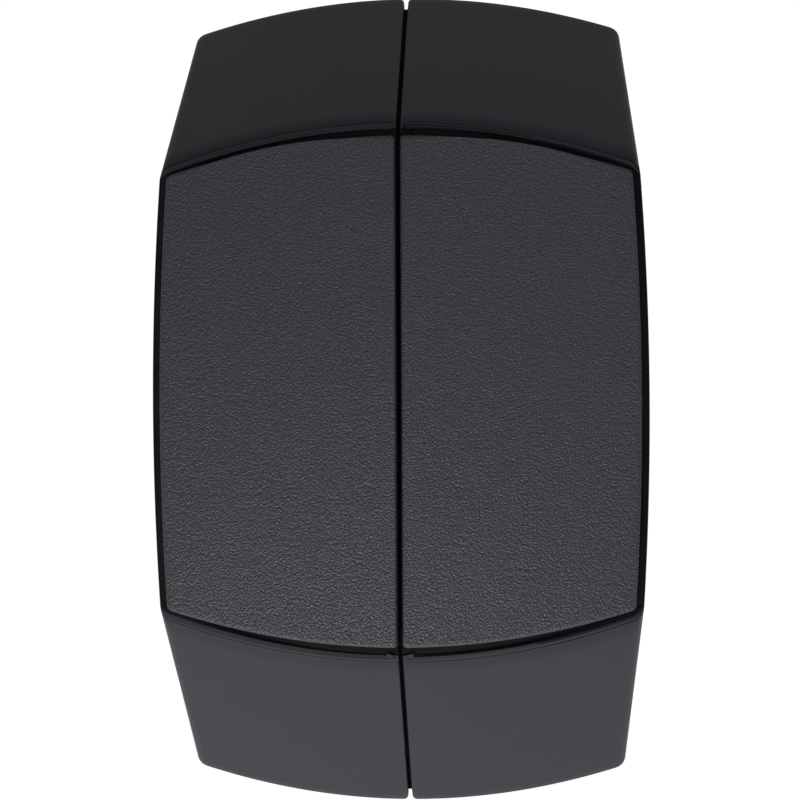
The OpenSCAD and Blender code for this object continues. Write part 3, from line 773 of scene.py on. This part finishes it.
def housing_bosses():
    """The bosses for the mounts, the strap and the visor screws, and the fixed hinge halves."""
    parts = [turned("boss", sized([(15, 211.8 * z), (17.7, 211.5 * z), (18, 211.8 * z), (18, 222 * z),
                                   (15, 222 * z)]), spot(0, mount_y, 0), "z", 48) for z in (1, -1)]
    parts += [turned("boss", sized([(2, 6.3), (2.3, 6), (5.7, 6), (6, 6.3), (6, 36), (2, 36)]),
                     spot(x, 0, 0), steps=32) for x in (strap_screw_x, -strap_screw_x)]
    for aspect in (aspect_z, -aspect_z):
        parts += [turned("boss", sized([(0, 28), (4.2, 28), (4.5, 28.3), (4.5, 36), (0, 36)]),
                         spot(x, 0, z), steps=24)
                  for x, z in at_corners(visor_screw_angles, visor_screw_r, aspect)]
    near = leaf_knuckle_h / 2 + knuckle_gap
    far = near + housing_knuckle_h
    for z in (middle_z + hinge_z, middle_z - hinge_z):
        for low, high in ((z + near, z + far), (z - far, z - near)):
            arm = block("arm", (116 * MM, rim_y + housing_back * MM, low),
                        (hinge_at.x + 1.5 * MM, hinge_at.y + 4.6 * MM, high), 0.4 * MM)
            half = hinge_half(arm, low, high, housing_pin_hole_r)
            parts += [half, to_left(half, "arm")]
    return parts


def front_housing():
    """Drawn out from inside the front wall, over the rear edge and round to the front face."""
    roll_y = housing_front - front_roll
    rings = [barrel_ring(housing_front - front_wall, wall_inside),
             barrel_ring(housing_back, wall_inside), barrel_ring(housing_back, wall_outside),
             barrel_ring(roll_y, wall_outside)]
    for turn in (math.radians(18 * i) for i in range(1, 6)):
        rings.append(barrel_ring(roll_y + front_roll * math.sin(turn),
                                 wall_outside + front_roll * (1 - math.cos(turn))))
    housing = start_ring("front_housing_body", rings[0])
    bpy.ops.mesh.edge_face_add()
    bpy.ops.mesh.select_mode(type="EDGE")
    draw_out(rings[1:])
    bpy.ops.mesh.edge_face_add()
    close_up()
    cut_out(housing, housing_cuts())
    return join(housing, housing_bosses())


housing_plastic = moulded_plastic("housing_plastic", (0.016, 0.0155, 0.0185), 0.5, 1300, 0.05 * MM,
                                  specular=0.35)
stand_for(front_housing(), housing_plastic, "front_housing")
dress(rubber, "housing_gasket", "red_lens_gasket", "green_lens_gasket")

# ---- Mount inserts and vent ----
# A zinc insert moulded into the top and one into the bottom take the hollow bolts of a bracket. A
# breather plug in the bottom lets the case dry out.
zinc = surface("insert_zinc", (0.42, 0.43, 0.42), 0.42, 700, 0.04, Metallic=1.0)
for name, z in (("top_mount_insert", 1), ("bottom_mount_insert", -1)):
    profile = [(12.6, 211.5 * z), (14.5, 211.5 * z), (15, 212 * z), (15, 224 * z), (14.5, 224.5 * z),
               (12.6, 224.5 * z), (12, 223.9 * z), (12, 212.1 * z)]
    insert = turned(name + "_body", sized(profile), spot(0, mount_y, 0), "z", 64)
    stand_for(insert, zinc, name)
softened("vent_plug", 0.5, rubber)

# ---- Lenses and visors ----
# Each lens is a tinted polycarbonate dome with small prisms on its back, pressed on its seal by the
# visor flange. The visor is a tube cut off on a rake, and four screws through its tabs hold both.
def tinted_clear(name, colour):
    """Tinted clear plastic: fine square prisms, and a slight haze."""
    finish = Finish(name, Transmission_Weight=0.75, IOR=1.49)
    across, up = finish.along("x"), finish.along("z")
    prisms = finish.math("SINE", across * 1400) * finish.math("SINE", up * 1400)
    haze = finish.noise(60, 3).within(0.3, 0.8)
    tone = finish.blend(haze, colour, tuple(0.85 * c for c in colour))
    return finish.set(Base_Color=tone, Roughness=0.08 + haze * 0.07,
                      Normal=finish.bump(prisms, 0.06 * MM))


lens_r = 100
lens_edge_r = 103.5
lens_back = 37.5
lens_front = 40
lens_rise = 6
visor_r = 103.5
visor_tip = 161
visor_drop = 1.15 * visor_r
visor_reach = 106


def lens(name, z):
    """A dome of even wall, with a flat edge that lies on the seal."""
    dome = [(lens_r * i / 24, lens_rise * (1 - (i / 24) ** 2)) for i in range(25)]
    profile = [(r, lens_back + rise) for r, rise in dome]
    profile += [(lens_edge_r, lens_back), (lens_edge_r, 39.6), (103.1, lens_front)]
    profile += [(r, lens_front + rise) for r, rise in reversed(dome)]
    return turned(name + "_body", sized(profile), spot(0, 0, z), steps=96)


def visor(name, z):
    """The rolled lip is part of the spun profile, and the rake is cut afterwards."""
    profile = [(100, 40), (104.1, 40), (104.5, 40.4), (104.5, 42.6), (104.1, 43), (visor_r, 43.5),
               (visor_r, 160.2), (103.1, 160.8), (102.25, visor_tip), (101.4, 160.8), (101, 160.2),
               (101, 43.5), (100.4, 43)]
    tube = turned(name + "_body", sized(profile), spot(0, 0, z), steps=128)
    rake = math.atan2(visor_drop, visor_reach)
    bpy.ops.object.mode_set(mode="EDIT")
    bpy.ops.mesh.select_all(action="SELECT")
    bpy.ops.mesh.bisect(plane_co=spot(0, 55, z - visor_r - 1),
                        plane_no=(0, -math.sin(rake), math.cos(rake)), clear_inner=True, use_fill=True)
    close_up()
    soften(tube, 0.6 * MM, 45)
    tabs = [turned("tab", sized([(0, 40), (5.7, 40), (6, 40.3), (6, 42.1), (5.6, 42.5), (0, 42.5)]),
                   spot(x, 0, up), steps=32)
            for x, up in at_corners(visor_screw_angles, visor_screw_r, z)]
    return join(tube, tabs)


visor_plastic = moulded_plastic("visor_plastic", (0.013, 0.0128, 0.0145), 0.6, 1100, 0.07 * MM,
                                specular=0.3)
lens_red = tinted_clear("lens_red", (0.62, 0.05, 0.04))
lens_green = tinted_clear("lens_green", (0.05, 0.46, 0.28))
for colour, z, tint in (("red", aspect_z, lens_red), ("green", -aspect_z, lens_green)):
    stand_for(lens(colour + "_lens", z), tint, colour + "_lens")
    stand_for(visor(colour + "_visor", z), visor_plastic, colour + "_visor")
softened("visor_screws", 0.35, stainless)

# ---- Optic modules ----
# Behind each lens a moulded can carries the symbol mask, a milky diffuser and a board of light emitting
# diodes. Its lugs are screwed to the front wall, and a finned driver is screwed to its back.
lug_r = 107.8
lug_angles = (20, 160, 200, 340)


def module_can(name, z):
    """A spun can with two sealing ribs round it, four screw lugs and stiffening ribs on its back."""
    profile = [(0, -20), (75, -20), (76.5, -19.6), (91.6, -4.6), (92, -3.6), (92, 4), (93.4, 4.3),
               (93.4, 5.7), (92, 6), (92, 15), (93.4, 15.3), (93.4, 16.7), (92, 17), (92, 28),
               (103.4, 28), (103.8, 28.4), (103.8, 35), (101.5, 35), (101.5, 30), (90, 30), (90, 8.4),
               (85, 8.4), (85, 5.4), (90, 5.4), (90, -4), (74, -18), (0, -18)]
    can = turned(name + "_body", sized(profile), spot(0, 0, z), steps=96)
    lugs = [turned("lug", sized([(2, 31), (5.7, 31), (6, 31.3), (6, 35), (2, 35)]), spot(x, 0, up),
                   steps=32)
            for x, up in at_corners(lug_angles, lug_r, z)]
    ribs = [block("rib", spot(x - 1, -21.2, z + low), spot(x + 1, -19, z + low + 32), 0.3 * MM)
            for low in (-62, 30) for x in (-48, -36, 36, 48)]
    return join(can, lugs + ribs)


def driver(name, z):
    """A potted supply with cooling fins and an ear at each end."""
    case = block(name + "_body", spot(-23, -36, z - 21), spot(23, -20.2, z + 21), 1.2 * MM)
    fins = [block("fin", spot(x - 1, -40, z - 19.5), spot(x + 1, -35, z + 19.5), 0.35 * MM)
            for x in range(-20, 21, 5)]
    ears = block("ears", spot(-35, -23, z - 9), spot(35, -20, z + 9), 0.5 * MM)
    return join(case, fins + [ears])


can_plastic = moulded_plastic("can_plastic", (0.02, 0.02, 0.022), 0.55, 1200, 0.05 * MM, specular=0.4)
driver_case = surface("driver_case", (0.5, 0.51, 0.53), 0.4, 800, 0.03, Metallic=0.9)
mask_black = surface("mask_black", (0.006, 0.006, 0.006), 0.8, 2500, 0.02, Specular_IOR_Level=0.25)
diffuser_white = surface("diffuser_white", (0.85, 0.85, 0.83), 0.5, 1500, 0.02,
                         Subsurface_Weight=0.3, Subsurface_Scale=0.004)
board_white = surface("board_white", (0.68, 0.7, 0.68), 0.45, 1800, 0.01)
led_red = surface("led_red", (0.6, 0.04, 0.03), 0.15, 900, 0.005, Coat_Weight=0.5)
led_green = surface("led_green", (0.04, 0.45, 0.2), 0.15, 900, 0.005, Coat_Weight=0.5)
zinc_plated = surface("zinc_plated", (0.5, 0.51, 0.53), 0.36, 700, 0.02, Metallic=1.0)
for colour, z, chips in (("red", aspect_z, led_red), ("green", -aspect_z, led_green)):
    stand_for(module_can(colour + "_module_can", z), can_plastic, colour + "_module_can")
    stand_for(driver(colour + "_driver", z), driver_case, colour + "_driver")
    softened(colour + "_symbol_mask", 0.15, mask_black)
    dress(diffuser_white, colour + "_diffuser")
    dress(board_white, colour + "_led_board")
    dress(chips, colour + "_leds")
softened("module_screws", 0.3, stainless)
softened("driver_screws", 0.3, stainless)

# ---- Terminals and leads ----
# A bent steel strap crosses the housing and carries a six-pole terminal block. One sheathed lead runs
# from the block to each driver.
pole_pitch = 11
lead_r = 2.5 * MM


def terminal_block():
    """A moulded bar with a wire entry on both sides of each pole and a well over each screw."""
    body = block("terminal_block_body", spot(-33, -46, -11), spot(33, -26, 11), 0.5 * MM)
    cuts = []
    for x in ((i - 2.5) * pole_pitch for i in range(6)):
        cuts += [block("entry", spot(x - 3.4, -37, low), spot(x + 3.4, -32.6, low + 4))
                 for low in (-12, 8)]
        cuts += [turned("well", sized([(0, -47), (3.3, -47), (3.3, -40), (0, -40)]), spot(x, 0, z),
                        steps=24) for z in (6, -6)]
    return cut_out(body, join(cuts[0], cuts[1:]))


def lead(name, side):
    """A round lead along a smooth line through the middle of the CAD lead's own route."""
    route = [spot(side * x, y, side * z) for x, y, z in (
        (14, -30, 84), (14, -31, 76), (14, -36, 66), (15, -45, 57), (16, -53, 48), (17, -58, 38),
        (17, -58, 29), (17, -51, 22), (17, -42, 18), (17, -35, 16), (16.5, -35, 11))]
    line = [route[0] * 2 - route[1]] + route + [route[-1] * 2 - route[-2]]
    path = []
    for a, b, c, d in zip(line, line[1:], line[2:], line[3:]):
        for t in (i / 8 for i in range(8)):
            path.append(0.5 * (2 * b + (c - a) * t + (2 * a - 5 * b + 4 * c - d) * t * t
                               + (3 * b - a - 3 * c + d) * t ** 3))
    path.append(route[-1])

    def ring(i):
        ahead = (path[min(i + 1, len(path) - 1)] - path[max(i - 1, 0)]).normalized()
        across = Vector((1, 0, 0)).cross(ahead).normalized()
        other = ahead.cross(across)
        turns = (2 * math.pi * k / 24 for k in range(24))
        return [path[i] + lead_r * (across * math.cos(a) + other * math.sin(a)) for a in turns]

    made = start_ring(name + "_body", ring(0))
    bpy.ops.mesh.edge_face_add()
    bpy.ops.mesh.select_mode(type="EDGE")
    draw_out([ring(i) for i in range(1, len(path))])
    bpy.ops.mesh.edge_face_add()
    return close_up()


terminal_body = surface("terminal_body", (0.62, 0.62, 0.58), 0.45, 1500, 0.02)
brass = surface("brass", (0.62, 0.47, 0.22), 0.3, 900, 0.01, Metallic=1.0)
lead_red = surface("lead_red", (0.4, 0.02, 0.02), 0.45, 600, 0.03)
lead_green = surface("lead_green", (0.02, 0.22, 0.07), 0.45, 600, 0.03)
softened("terminal_bracket", 0.6, zinc_plated)
softened("bracket_screws", 0.3, stainless)
stand_for(terminal_block(), terminal_body, "terminal_block")
dress(brass, "terminal_screws")
stand_for(lead("red_lead", 1), lead_red, "red_lead")
stand_for(lead("green_lead", -1), lead_green, "green_lead")

# ---- Locks and hinge pins ----
# Four quarter-turn locks run in bushes in the top and bottom walls. Their cams reach behind plated
# strikers fixed inside the rims of the leaves. Headed pins carry the leaves.
softened("lock_bushes", 0.4, zinc_plated)
for place in ("top_left", "top_right", "bottom_left", "bottom_right"):
    softened("lock_spindle_" + place, 0.4, stainless)
    softened("lock_cam_" + place, 0.4, zinc_plated)
for side in ("left", "right"):
    softened(side + "_strikers", 0.5, zinc_plated)
    softened("hinge_pins_" + side, 0.5, stainless)

# ---- Studio ----
# The head is held over a pale floor, in soft white light that is stronger from below. The camera
# stands behind the head, level with its middle.
floor_z = cad_box[0].z - 0.35
deselect()
bpy.ops.mesh.primitive_plane_add(size=12, location=(0, 0, floor_z))
floor = bpy.context.object
floor.name = "floor"
floor_finish = Finish("floor_paint", Roughness=0.9)
tone = floor_finish.noise(3, 2).within(0.3, 0.7)
floor.data.materials.append(floor_finish.set(
    Base_Color=floor_finish.blend(tone, (0.9, 0.9, 0.9), (0.94, 0.94, 0.94)),
    Emission_Color=(1, 1, 1), Emission_Strength=0.68))


def softbox(name, place, size, power, colour=(1, 1, 1)):
    """A round lamp aimed at the middle of the head."""
    light = bpy.data.lights.new(name, "AREA")
    light.shape, light.size, light.energy, light.color = "DISK", size, power, colour
    lamp = bpy.data.objects.new(name, light)
    bpy.context.scene.collection.objects.link(lamp)
    lamp.location = place
    lamp.rotation_euler = (head - place).to_track_quat("-Z", "Y").to_euler()


head = Vector((0, rim_y, middle_z))
softbox("low_front", head + Vector((-0.12, -0.5, -0.5)), 0.15, 2.2, (1.0, 0.94, 0.84))
softbox("high_front", head + Vector((0.3, -1.5, 1.3)), 0.6, 3)

world = bpy.data.worlds.new("studio")
bpy.context.scene.world = world
world.use_nodes = True
sky = Pattern(world.node_tree, "Generated")
low = 1 - sky.along("z").within(0.24, 0.62)
back = sky.along("y").within(-0.6, 0.5)
sides = sky.math("ABSOLUTE", sky.along("x")).within(0.3, 0.9)
level = (0.45 + low * 0.55) * (0.5 + back * 0.5) * (1 - sides * 0.6)
backdrop = world.node_tree.nodes["Background"].inputs
sky.feed(backdrop["Color"], sky.blend(level, (0, 0, 0), (1, 1, 1)))
sky.feed(backdrop["Strength"], 1.03)
bpy.context.scene.view_settings.view_transform = "Standard"

camera_data = bpy.data.cameras.new("camera")
camera_data.angle = math.radians(28.07)
camera = bpy.data.objects.new("camera", camera_data)
bpy.context.scene.collection.objects.link(camera)
bpy.context.scene.camera = camera
camera.location = head + Vector((38.3, -920, -23.7)) * MM
yaw, pitch, roll = math.radians(-2.69), math.radians(1.36), math.radians(-0.30)
forward = Vector((math.sin(yaw) * math.cos(pitch), math.cos(yaw) * math.cos(pitch), math.sin(pitch)))
camera.rotation_mode = "QUATERNION"
camera.rotation_quaternion = forward.to_track_quat("-Z", "Y") @ Quaternion((0, 0, 1), roll)
